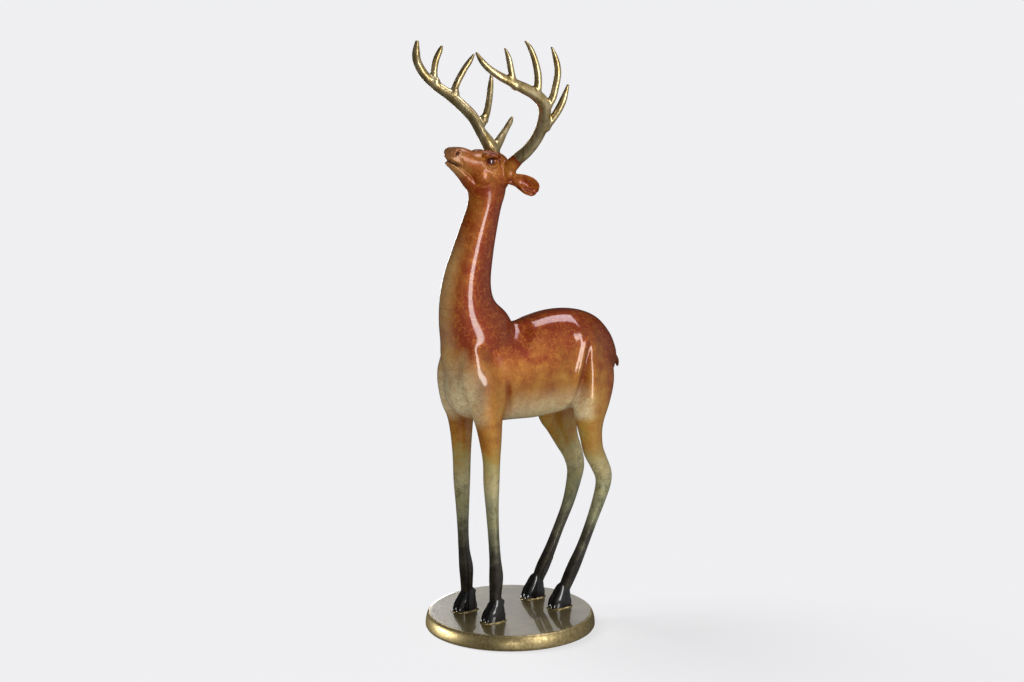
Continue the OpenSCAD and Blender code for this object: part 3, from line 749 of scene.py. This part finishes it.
# The lids, nostrils, lips and folds of both cheeks: [y, z, radius, depth]
FACE_STROKES = [
    [(-31, 423.5, 2.4, 1), (-27, 423.3, 3.4, 1.9), (-23, 422.5, 2.6, 1.2)],
    [(-32, 424.4, 0.9, -0.7), (-30, 427, 1, -1.3), (-26.5, 428.2, 1.1, -1.5), (-23, 427.2, 1, -1.4),
     (-20.6, 424.4, 0.9, -1.1), (-19.6, 421, 0.8, -0.3)],
    [(-32, 427.5, 0.8, 0.3), (-29, 430, 0.8, 0.8), (-23.5, 430, 0.8, 1), (-19.5, 427, 0.8, 1.1),
     (-17.8, 422.5, 0.8, 1.1), (-18, 417.4, 0.8, 0.3)],
    [(-32, 423.4, 0.9, -0.8), (-30, 420.2, 0.9, -1), (-27, 418.6, 0.9, -1), (-23.5, 418.8, 0.9, -0.9),
     (-20.6, 421, 0.8, -0.6)],
    [(-33.5, 421, 0.9, 0.2), (-30.5, 417.6, 0.9, 0.5), (-25.7, 416, 0.9, 0.5), (-21, 417.4, 0.9, 0.2)],
    [(-66, 425.6, 0.9, 1.6), (-63.4, 425.4, 0.9, 2.4), (-60.5, 423.8, 0.9, 2.6), (-56.5, 421.6, 0.9, 2.2),
     (-52, 419.2, 0.8, 0.7)],
    [(-63, 428.2, 1.1, -0.6), (-59, 425.6, 1.1, -0.8), (-55, 423.6, 1, -0.5)],
    [(-62, 422.2, 0.9, -0.5), (-58, 420.2, 0.9, -0.7), (-54.5, 418.2, 0.9, -0.4)],
    [(-54.2, 428, 1, 0.2), (-52.6, 424.5, 1, 0.9), (-51.5, 420.5, 1, 0.4)],
    [(-57.6, 431, 1.3, 3), (-56.2, 432, 1.2, 2.6)],
    [(-60.6, 431, 1.1, -0.7), (-58.6, 434, 1.1, -0.9), (-55, 434.6, 1, -0.8), (-53.4, 431.6, 1, -0.6)],
    [(-53, 409, 1, 0.6), (-50, 408.5, 1, 0.6), (-46, 411, 1, 0.2)],
    [(0.5, 404.5, 3, 0.8), (4, 401.5, 4, 1.8), (8, 397.6, 3.4, 1.2)],
    [(-5, 399.5, 1.5, -0.3), (0, 396, 1.6, -1.2), (4.5, 393.4, 1.6, -1.4), (8.5, 392.4, 1.4, -1)],
    [(-8.5, 405, 2, 0.6), (-5, 400, 2, 1), (-3, 396.5, 2, 0.3)],
]
# Painted shade, drawn dark: between the lips, in the nostrils, under and above the upper lids, and in a fold
# at the root of each ear
SHADE_LINES = [
    [(-65, 425.6, 0.9, 1), (-61, 424, 1, 1), (-56.5, 421.6, 1, 1), (-53, 419.8, 0.8, 0.6)],
    [(-57.6, 431, 1.2, 1), (-56.2, 432, 1, 1)],
    [(-31.5, 423.8, 0.8, 0.7), (-29.4, 425.8, 0.8, 1), (-26.5, 426.6, 0.8, 1), (-23.4, 425.8, 0.8, 0.9)],
    [(-30.5, 430, 0.7, 0.3), (-23.5, 430, 0.7, 0.6), (-19.5, 427, 0.7, 0.7), (-17.8, 422.5, 0.7, 0.7)],
    [(-8.5, 405, 1.6, 0.4), (-5, 400, 1.6, 0.6), (-3, 396.5, 1.6, 0.4)],
]
tool(head_skin, FACE_STROKES, from_the_side)


def near_to(at, reach):
    """A test for what lies within reach of a place"""
    return lambda p: (p - Vector(at)).length < reach


def beside_the_head(side):
    """A test for what belongs to the ear on a side"""
    return lambda p: p.x * side > 11.5 and 386 < p.z < 417 and p.y > -14


head_cuts = [((0, 0, HEAD_CUT), (0, 0, -1))]
head_cuts += [(*joint, near_to(joint[0], 12)) for joint in ANTLER_JOINTS.values()]
ears = []
for side, name in ((1, "left_ear"), (-1, "right_ear")):
    joint, way = [(side * v[0], *v[1:]) for v in EAR_JOINT]
    head_cuts.append((joint, way, beside_the_head(side)))
    ears.append(casting(
        head_skin, name + "_casting", name, [(joint, tuple(-c for c in way))],
        lambda middle, side=side: not beside_the_head(side)(middle)))
head = casting(head_skin, "head_casting", "head", head_cuts)
bpy.data.objects.remove(head_skin)

# The face is rubbed back a little, so its lacquer shines more softly than the body's
soft_patina = patina.copy()
soft_patina.name = "rubbed_hot_patina"
lacquer = soft_patina.node_tree.nodes["Principled BSDF"].inputs
lacquer["Coat Roughness"].default_value = 0.2
lacquer["Coat Weight"].default_value = 0.6
for piece in (head, *ears):
    x, y, z = points_of(piece).T
    shift, throat = neck_heat(points_of(piece, "normal"), z)
    muzzle = 1 - step_between(-60, -44, y)
    # Painted shade: the lower cheeks and the jaw are drawn redder and darker
    jaw_shade = 1 - step_between(398, 414, z)
    heat_and_shade = 0.87 + 0.04 * step_between(420, 430, z) - 0.03 * muzzle + 0.08 * jaw_shade
    wax = np.zeros(len(x))
    side_view = np.stack([y, z], axis=1)
    # Painted shade: every tooled hollow of the face is drawn redder and darker
    for stroke in FACE_STROKES:
        away, beside = to_line(side_view, np.array(stroke, dtype=float))
        heat_and_shade = heat_and_shade + 0.08 * np.clip(beside[:, -1], 0, 1.5) * np.exp(-(away / beside[:, -2]) ** 2)
    for stroke in SHADE_LINES:
        away, beside = to_line(side_view, np.array(stroke, dtype=float))
        wax = np.maximum(wax, beside[:, -1] * np.exp(-(away / beside[:, -2]) ** 2))
    face = step_between(386, 402, z)
    for joint, _ in ANTLER_JOINTS.values():
        root = 1 - step_between(2, 9, np.linalg.norm(points_of(piece) - joint, axis=1))
        heat_and_shade = heat_and_shade + 0.3 * root
        wax = np.maximum(wax, 0.65 * root)
    paint(piece, firing=face * heat_and_shade + (1 - face) * (0.9 + shift), wax=wax,
          pale=face * 0.15 * muzzle + (1 - face) * throat)
    finish_in(piece, soft_patina)

bm = bmesh.new()
for side in (1, -1):
    swelling(bm, (side * EYE[0], EYE[1], EYE[2]), (EYE_R, EYE_R, EYE_R))
eyes = add_object("eyes", bm)
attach(eyes, "root")
for f in eyes.data.polygons:
    f.use_smooth = True

# The eyes are polished and lacquered thick, so they look wet and nearly black
eye_glaze, tree = new_material("dark_glossy_eye")
shader = add_node(tree, "ShaderNodeBsdfPrincipled", {
    "Base Color": linear("#3a0e06"), "Roughness": 0.4, "Specular IOR Level": 0.1,
    "Coat Weight": 1.0, "Coat IOR": 1.9, "Coat Roughness": 0.02})
finish_material(tree, shader)
eyes.data.materials.append(eye_glaze)


# ---- Antlers ----
# Each antler is a solid casting, doweled to its stump: a round beam that curves out and forward, with
# tines along its upper side. They are left golden, with the darker wax of the patina round their roots.

BEAMS = {
    "left": [
        (14, -8, 418, 5.4, 5.4),
        (18.5, -3.5, 424.5, 5.4, 5.4),
        (24, 1.5, 431, 5.2, 5.2),
        (31, 6, 441, 5, 5),
        (38, 8, 453, 5.2, 5.2),
        (44, 7, 464.5, 5.4, 5.4),
        (49, 2, 475, 5.5, 5.5),
        (52, -8.5, 483.5, 5.2, 4.8),
        (54, -21, 489.5, 4.7, 4.1),
        (55, -34, 495.5, 4.1, 3.6),
        (55, -46, 501.5, 3.4, 3.1),
        (53, -55, 508, 2.9, 2.9),
        (51, -60.5, 514.5, 2.3, 2.3),
        (49, -64, 521, 1, 1),
    ],
    "right": [
        (-15.5, -5, 416, 5.6, 5.6),
        (-18.5, -5, 424.5, 5.6, 5.6),
        (-20, -9, 433, 6.4, 5.5),
        (-25, -15.2, 445, 4.4, 5),
        (-31, -18.5, 456, 5, 5),
        (-38, -27, 467, 4.8, 4.8),
        (-44, -35, 475.5, 4.8, 4.6),
        (-49, -45, 483.5, 4.4, 4.2),
        (-52, -54.5, 493, 4, 4),
        (-52, -61.5, 504, 3.7, 3.7),
        (-50, -64, 513, 3.4, 3.4),
        (-48, -64, 523, 1.6, 1.6),
    ],
}
TINES = {
    "left": [
        [(54, -27, 489, 3.2, 3.2), (55, -31.5, 496, 3.2, 3.2), (55.5, -34, 505, 2.8, 2.8),
         (55, -36, 515, 2.4, 2.4), (53, -38.5, 523.5, 0.9, 0.9)],
        [(51, -7, 478, 3.4, 3.4), (53, -6, 488, 3.6, 3.6), (54, -6.5, 500, 3.2, 3.2),
         (52.5, -9, 513, 2.7, 2.7), (50.5, -12, 522, 2.2, 2.2), (48, -15.5, 528, 0.9, 0.9)],
        [(46, 4, 468, 3.4, 3.4), (51, 9.5, 477.5, 3.5, 3.5), (53, 12, 489, 3.1, 3.1),
         (54, 13.5, 501, 2.9, 2.9), (53, 12, 512, 2.5, 2.5), (51, 9, 522, 0.9, 0.9)],
        [(36, 8.5, 448, 3.4, 3.4), (41, 15, 458, 3.6, 3.6), (44.5, 20, 467, 3.4, 3.4),
         (47, 24, 477, 3, 3), (48, 28, 489, 1.1, 1.1)],
    ],
    "right": [
        [(-18, -6, 427, 5, 5), (-21, 2, 435, 4.2, 4.2), (-24.5, 10.6, 443.5, 2.8, 3),
         (-27, 17, 450, 2.4, 2.4), (-28, 20, 454.5, 0.9, 0.9)],
        [(-27, -13, 449, 3.8, 3.8), (-31, -5, 458, 3.4, 3.4), (-36, 1, 469, 2.9, 2.9),
         (-40, 5, 481, 2.6, 2.6), (-42, 7.5, 493, 1, 1)],
        [(-41, -32, 471, 3.6, 3.6), (-44, -28.5, 481.5, 3.3, 3.3), (-46, -19, 495, 2.8, 2.8),
         (-46, -12.5, 503, 2.4, 2.4), (-46, -8, 509, 0.9, 0.9)],
        [(-48, -45, 481, 3.4, 3.4), (-50.5, -46, 492, 3.2, 3.2), (-51, -44, 504, 2.9, 2.9),
         (-50.5, -40, 513, 2.3, 2.3), (-50, -38, 517.5, 0.9, 0.9)],
    ],
}

ANTLER_GRAIN = 0.5
FORK_R = 4.6
STREAK_SIZE = 6 * MM

# Golden bronze, rubbed satin-smooth: darker wax stays in long streaks and round the root of each antler.
antler_bronze, tree = new_material("rubbed_golden_bronze")
place = add_node(tree, "ShaderNodeTexCoord").outputs["Object"]
drawn = add_node(tree, "ShaderNodeMapping", {"Vector": place, "Scale": (1, 1, 0.35)}).outputs["Vector"]
streak = add_node(tree, "ShaderNodeTexNoise", {
    "Vector": drawn, "Scale": 1 / STREAK_SIZE, "Detail": 4, "Roughness": 0.6,
    "Distortion": 0.6}).outputs["Fac"]
ramp = add_node(tree, "ShaderNodeValToRGB", {"Fac": streak})
ramp.color_ramp.elements[0].position, ramp.color_ramp.elements[0].color = 0.35, linear("#9f8751")
ramp.color_ramp.elements[1].position, ramp.color_ramp.elements[1].color = 0.65, linear("#e2ce9f")
root = add_node(tree, "ShaderNodeAttribute", attribute_name="wax").outputs["Fac"]
colour = add_node(tree, "ShaderNodeMix", {
    "Factor": root, "A": ramp.outputs["Color"], "B": linear("#3a2210")}, data_type="RGBA").outputs["Result"]
dents = add_node(tree, "ShaderNodeBump", {
    "Height": streak, "Strength": 0.2, "Distance": 0.8 * MM}).outputs["Normal"]
shader = add_node(tree, "ShaderNodeBsdfPrincipled", {
    "Base Color": colour, "Metallic": 0.92, "Roughness": 0.32, "Normal": dents})
finish_material(tree, shader)

for side, beam in BEAMS.items():
    bm = bmesh.new()
    loft(bm, beam, 28, 6, (0, 1, 0))
    for tine in TINES[side]:
        loft(bm, tine, 24, 6, (0, 1, 0))
        swelling(bm, [(a + b) / 2 for a, b in zip(tine[0], tine[1])][:3], (FORK_R, FORK_R, FORK_R))
    antler_skin = add_object("antler_skin", bm)
    grow_together(antler_skin, ANTLER_GRAIN)
    where = points_of(antler_skin)
    crotches = np.array([tine[1][:3] for tine in TINES[side]])
    apart = np.linalg.norm(where[:, None, :] - crotches[None], axis=2).min(axis=1)
    relax(antler_skin, 0.5, 60, 0.06 + 0.94 * (1 - step_between(6, 13, apart)))
    joint, way = ANTLER_JOINTS[side]
    root_end = [(joint, tuple(-c for c in way))]
    antler = casting(antler_skin, side + "_antler_casting", side + "_antler", root_end)
    bpy.data.objects.remove(antler_skin)
    from_root = np.linalg.norm(points_of(antler) - joint, axis=1)
    paint(antler, wax=0.7 * (1 - step_between(1, 9, from_root)))
    finish_in(antler, antler_bronze)


# ---- Tail ----
# A short flat tail, cast in solid bronze on its own and pinned under the rump. It has the darkest and
# reddest of the patina, with wax left on it.

TAIL = [
    (0, 92, 243.5, 4, 3),
    (0, 102, 240, 4, 3),
    (0, 109, 236, 3.8, 2.8),
    (0, 113.5, 230, 2.8, 2.2),
    (0, 115, 224.5, 0.8, 0.8),
]
TAIL_GRAIN = 0.4

bm = bmesh.new()
loft(bm, TAIL, 24, 5)
tail_skin = add_object("tail_skin", bm)
grow_together(tail_skin, TAIL_GRAIN)
tail = casting(tail_skin, "tail_casting", "tail", [])
bpy.data.objects.remove(tail_skin)
everywhere = np.ones(len(tail.data.vertices))
paint(tail, firing=everywhere, wax=0.5 * everywhere)
finish_in(tail, patina)


# ---- Hooves ----
# The cloven hooves are the ends of the leg castings, chased sharp: each has two toes, the heel behind
# them and two dewclaws. They are separate pieces here, each with the black finish alone.

FEET = {
    "front_left_leg": (18.5, -29.5),
    "front_right_leg": (-21, -35),
    "hind_left_leg": (16.5, 42),
    "hind_right_leg": (-20, 37),
}
BASE_TOP = 13.5
TOE = [
    (3.3, 0, -2, 4, 10.8),
    (3.3, 0, 0, 4, 10.8),
    (3.3, 0.7, 5, 3.9, 10),
    (3.0, 2, 10, 3.5, 8.2),
    (2.6, 3.2, 15, 3.1, 6.6),
    (2, 4.2, 19, 2.6, 5),
    (1.5, 4.8, 22, 1.2, 2.4),
]
HOOF_GRAIN = 0.35
GRIME_SIZE = 3 * MM

# Black patina under thick lacquer: nearly a mirror, with faint brown where the black is thin
black_gloss, tree = new_material("black_lacquered_bronze")
place = add_node(tree, "ShaderNodeTexCoord").outputs["Object"]
grime = add_node(tree, "ShaderNodeTexNoise", {
    "Vector": place, "Scale": 1 / GRIME_SIZE, "Detail": 4}).outputs["Fac"]
ramp = add_node(tree, "ShaderNodeValToRGB", {"Fac": grime})
ramp.color_ramp.elements[0].position, ramp.color_ramp.elements[0].color = 0.4, linear("#060606")
ramp.color_ramp.elements[1].position, ramp.color_ramp.elements[1].color = 0.7, linear("#1a1613")
shader = add_node(tree, "ShaderNodeBsdfPrincipled", {
    "Base Color": ramp.outputs["Color"], "Metallic": 0.0, "Roughness": 0.4, "Specular IOR Level": 0.2,
    "Coat Weight": 1.0, "Coat Roughness": 0.04})
finish_material(tree, shader)

for leg_name, (x, y) in FEET.items():
    bm = bmesh.new()
    for side in (1, -1):
        loft(bm, [(x + side * t[0], y + t[1], BASE_TOP + t[2], t[3], t[4]) for t in TOE], 28, 5)
        swelling(bm, (x + side * 2.6, y + 8.4, BASE_TOP + 17), (1.5, 1.8, 2.4))
    swelling(bm, (x, y + 7.5, BASE_TOP + 4), (5.5, 4.5, 6))
    hoof_skin = add_object("hoof_skin", bm)
    grow_together(hoof_skin, HOOF_GRAIN)
    relax(hoof_skin, 0.5, 5, np.ones(len(hoof_skin.data.vertices)))
    hoof = casting(hoof_skin, leg_name[:-3] + "hoof", leg_name, [((0, 0, BASE_TOP), (0, 0, -1))])
    bpy.data.objects.remove(hoof_skin)
    finish_in(hoof, black_gloss)


# ---- Base plate ----
# A turned bronze disc with a convex rim and a shallow recess for the felt. The top is lacquered over
# an olive patina. The rim is rubbed through to the golden metal, with a bright line on its edge.

FOOT_R = 76.2
TOP_R = 72.3
BASE_FOOT = 0.6
RECESS_R = 70
RECESS_TOP = 2
RIM_FOOT = 1.6
RIM_STEPS = 12


def turned(outline, steps):
    """A solid turned about the middle from an outline [radius, height], in millimetres"""
    bm = bmesh.new()
    corners = [bm.verts.new((radius * MM, 0, height * MM)) for radius, height in outline]
    edges = [bm.edges.new(pair) for pair in zip(corners, corners[1:])]
    bmesh.ops.spin(
        bm, geom=corners + edges, cent=(0, 0, 0), axis=(0, 0, 1), angle=math.tau, steps=steps, use_merge=True)
    bmesh.ops.remove_doubles(bm, verts=bm.verts, dist=1e-6)
    bmesh.ops.recalc_face_normals(bm, faces=bm.faces)
    return bm


outline = [(0, RECESS_TOP), (RECESS_R, RECESS_TOP), (RECESS_R, BASE_FOOT), (FOOT_R - 0.6, BASE_FOOT)]
for k in range(RIM_STEPS + 1):
    turn = math.radians(90 * k / RIM_STEPS)
    out, up = math.cos(turn), math.sin(turn)
    outline.append((TOP_R + (FOOT_R - TOP_R) * out, RIM_FOOT + (BASE_TOP - RIM_FOOT - 0.5) * up))
outline += [(TOP_R - 0.25, BASE_TOP - 0.07), (TOP_R - 0.8, BASE_TOP), (TOP_R - 3, BASE_TOP), (0, BASE_TOP)]
bm = turned(outline, 160)
for f in bm.faces:
    f.smooth = True
    middle = f.calc_center_median() / MM
    f.material_index = 0 if middle.z > BASE_TOP - 0.05 else 1
for e in bm.edges:
    if len(e.link_faces) == 2 and e.calc_face_angle() > math.radians(35):
        e.smooth = False
base = add_object("base_plate_turned", bm)

# The stud holes and their counterbores are drilled from below
STUDS = [(18, -28.5), (-21, -34.5), (16.8, 44), (-20, 39.5)]
COUNTERBORE_R = 5
COUNTERBORE_TOP = 7.2
STUD_HOLE_R = 2.3
drill = bmesh.new()
for x, y in STUDS:
    for radius, low, high in ((COUNTERBORE_R, RECESS_TOP - 0.5, COUNTERBORE_TOP),
                              (STUD_HOLE_R, COUNTERBORE_TOP - 0.5, BASE_TOP + 0.5)):
        bmesh.ops.create_cone(
            drill, cap_ends=True, segments=48, radius1=radius * MM, radius2=radius * MM,
            depth=(high - low) * MM, matrix=Matrix.Translation(Vector((x, y, (low + high) / 2)) * MM))
for f in drill.faces:
    f.material_index = 1
drills = add_object("drills", drill)
holes = base.modifiers.new("holes", "BOOLEAN")
holes.object = drills
holes.operation = "DIFFERENCE"
holes.solver = "EXACT"
holes.use_self = True
settle(base)
bpy.data.objects.remove(drills)
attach(base, "root")
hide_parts("base_plate")

# The top is flat and glossy: a mirror of the room in olive brown, with very faint waves and clouds
OLIVE_CLOUD_SIZE = 22 * MM
olive_top, tree = new_material("lacquered_olive_bronze")
place = add_node(tree, "ShaderNodeTexCoord").outputs["Object"]
cloud = add_node(tree, "ShaderNodeTexNoise", {
    "Vector": place, "Scale": 1 / OLIVE_CLOUD_SIZE, "Detail": 5}).outputs["Fac"]
ramp = add_node(tree, "ShaderNodeValToRGB", {"Fac": cloud})
ramp.color_ramp.elements[0].position, ramp.color_ramp.elements[0].color = 0.35, linear("#5b4d2c")
ramp.color_ramp.elements[1].position, ramp.color_ramp.elements[1].color = 0.65, linear("#75673f")
wave = add_node(tree, "ShaderNodeBump", {
    "Height": cloud, "Strength": 0.2, "Distance": 0.8 * MM}).outputs["Normal"]
shader = add_node(tree, "ShaderNodeBsdfPrincipled", {
    "Base Color": ramp.outputs["Color"], "Metallic": 0.5, "Roughness": 0.35, "Normal": wave,
    "Coat Weight": 1.0, "Coat Roughness": 0.03})
finish_material(tree, shader)
base.data.materials.append(olive_top)

# The rim is unlacquered bronze, worn bright in small patches, with brown left between them
RUB_SIZE = 3 * MM
rubbed_rim, tree = new_material("rubbed_bronze_rim")
place = add_node(tree, "ShaderNodeTexCoord").outputs["Object"]
rub = add_node(tree, "ShaderNodeTexNoise", {
    "Vector": place, "Scale": 1 / RUB_SIZE, "Detail": 8, "Roughness": 0.75}).outputs["Fac"]
ramp = add_node(tree, "ShaderNodeValToRGB", {"Fac": rub})
ramp.color_ramp.elements[0].position, ramp.color_ramp.elements[0].color = 0.35, linear("#7d6c44")
ramp.color_ramp.elements[1].position, ramp.color_ramp.elements[1].color = 0.65, linear("#bfac7c")
scuff = add_node(tree, "ShaderNodeMapRange", {
    "Value": rub, "From Min": 0.3, "From Max": 0.7, "To Min": 0.5, "To Max": 0.3}).outputs["Result"]
shader = add_node(tree, "ShaderNodeBsdfPrincipled", {
    "Base Color": ramp.outputs["Color"], "Metallic": 0.9, "Roughness": scuff})
finish_material(tree, shader)
base.data.materials.append(rubbed_rim)

# The cards light only the base, whose rim and top they pick out
lit = bpy.data.collections.new("base_only")
lit.objects.link(base)
for card in cards:
    card.light_linking.receiver_collection = lit


# ---- Feet on the base ----
# Each foot sits in a little pool of braze, which is dressed back by hand to a low golden fillet round
# the sole. It is rubbed like the rim, and its edge wanders a little.

# Half width and half length of a sole, and how far the fillet stands out and up from its edge
SOLE = (6.8, 10.6)
FILLET = [(2.4, -0.1), (1.7, 0.5), (0.7, 1.1), (-1.5, 1.3)]

bm = bmesh.new()
for x, y in FEET.values():
    rings = []
    for out, up in FILLET:
        place = Matrix.Translation(Vector((x, y, BASE_TOP + up)) * MM)
        place = place @ Matrix.Diagonal(((SOLE[0] + out) * MM, (SOLE[1] + out) * MM, 1, 1))
        ring = bmesh.ops.create_circle(bm, cap_ends=False, segments=64, radius=1, matrix=place)["verts"]
        for v in ring:
            turn = math.atan2(v.co.y - y * MM, v.co.x - x * MM)
            wander = 1 + 0.06 * math.sin(3 * turn + x) + 0.04 * math.sin(5 * turn + y)
            v.co.x = x * MM + (v.co.x - x * MM) * wander
            v.co.y = y * MM + (v.co.y - y * MM) * wander
        rings.append(list({e for v in ring for e in v.link_edges}))
    for low, high in zip(rings, rings[1:]):
        bmesh.ops.bridge_loops(bm, edges=low + high)
    bmesh.ops.holes_fill(bm, edges=rings[0] + rings[-1], sides=0)
bmesh.ops.recalc_face_normals(bm, faces=bm.faces)
for f in bm.faces:
    f.smooth = True
braze = add_object("foot_braze", bm)
braze.data.materials.append(rubbed_rim)
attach(braze, "root")


# ---- Felt and hardware ----
# A disc of dark green wool felt is glued in the recess. Above it, zinc-plated studs, washers and nuts
# pull the four feet down, each nut in its counterbore. Steel dowels hold the antlers.

FELT_R = 69.7
FELT_TOP = 2

outline = [(0, 0), (FELT_R - 0.5, 0), (FELT_R - 0.15, 0.15), (FELT_R, 0.5), (FELT_R, FELT_TOP), (0, FELT_TOP)]
felt = add_object("felt_disc", turned(outline, 128))
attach(felt, "root")
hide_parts("felt_pad")

# Pressed wool: mottled and quite without shine. Its matted fibres are a few tenths of a millimetre
# wide, and are drawn coarser so that they show.
FIBRE_SIZE = 0.8 * MM
wool, tree = new_material("pressed_wool_felt")
place = add_node(tree, "ShaderNodeTexCoord").outputs["Object"]
fibre = add_node(tree, "ShaderNodeTexNoise", {
    "Vector": place, "Scale": 1 / FIBRE_SIZE, "Detail": 6, "Roughness": 0.7,
    "Distortion": 2}).outputs["Fac"]
ramp = add_node(tree, "ShaderNodeValToRGB", {"Fac": fibre})
ramp.color_ramp.elements[0].position, ramp.color_ramp.elements[0].color = 0.35, linear("#1b271f")
ramp.color_ramp.elements[1].position, ramp.color_ramp.elements[1].color = 0.65, linear("#39493c")
nap = add_node(tree, "ShaderNodeBump", {
    "Height": fibre, "Strength": 0.6, "Distance": 0.3 * MM}).outputs["Normal"]
shader = add_node(tree, "ShaderNodeBsdfPrincipled", {
    "Base Color": ramp.outputs["Color"], "Roughness": 0.95, "Sheen Weight": 0.4, "Normal": nap})
finish_material(tree, shader)
felt.data.materials.append(wool)

# Bright zinc on turned steel: a cool grey with a faint blue cast, cloudy where the plating is uneven
SPANGLE_SIZE = 1.5 * MM
zinc, tree = new_material("bright_zinc_steel")
place = add_node(tree, "ShaderNodeTexCoord").outputs["Object"]
spangle = add_node(tree, "ShaderNodeTexNoise", {
    "Vector": place, "Scale": 1 / SPANGLE_SIZE, "Detail": 5, "Roughness": 0.6}).outputs["Fac"]
ramp = add_node(tree, "ShaderNodeValToRGB", {"Fac": spangle})
ramp.color_ramp.elements[0].position, ramp.color_ramp.elements[0].color = 0.35, linear("#9ba0a6")
ramp.color_ramp.elements[1].position, ramp.color_ramp.elements[1].color = 0.65, linear("#c4c8cc")
scuff = add_node(tree, "ShaderNodeMapRange", {
    "Value": spangle, "From Min": 0.3, "From Max": 0.7, "To Min": 0.28, "To Max": 0.42}).outputs["Result"]
shader = add_node(tree, "ShaderNodeBsdfPrincipled", {
    "Base Color": ramp.outputs["Color"], "Metallic": 1.0, "Roughness": scuff})
finish_material(tree, shader)
for name in ("foot_studs", "stud_washers", "stud_nuts", "antler_dowels"):
    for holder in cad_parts[name].material_slots:
        holder.material = zinc
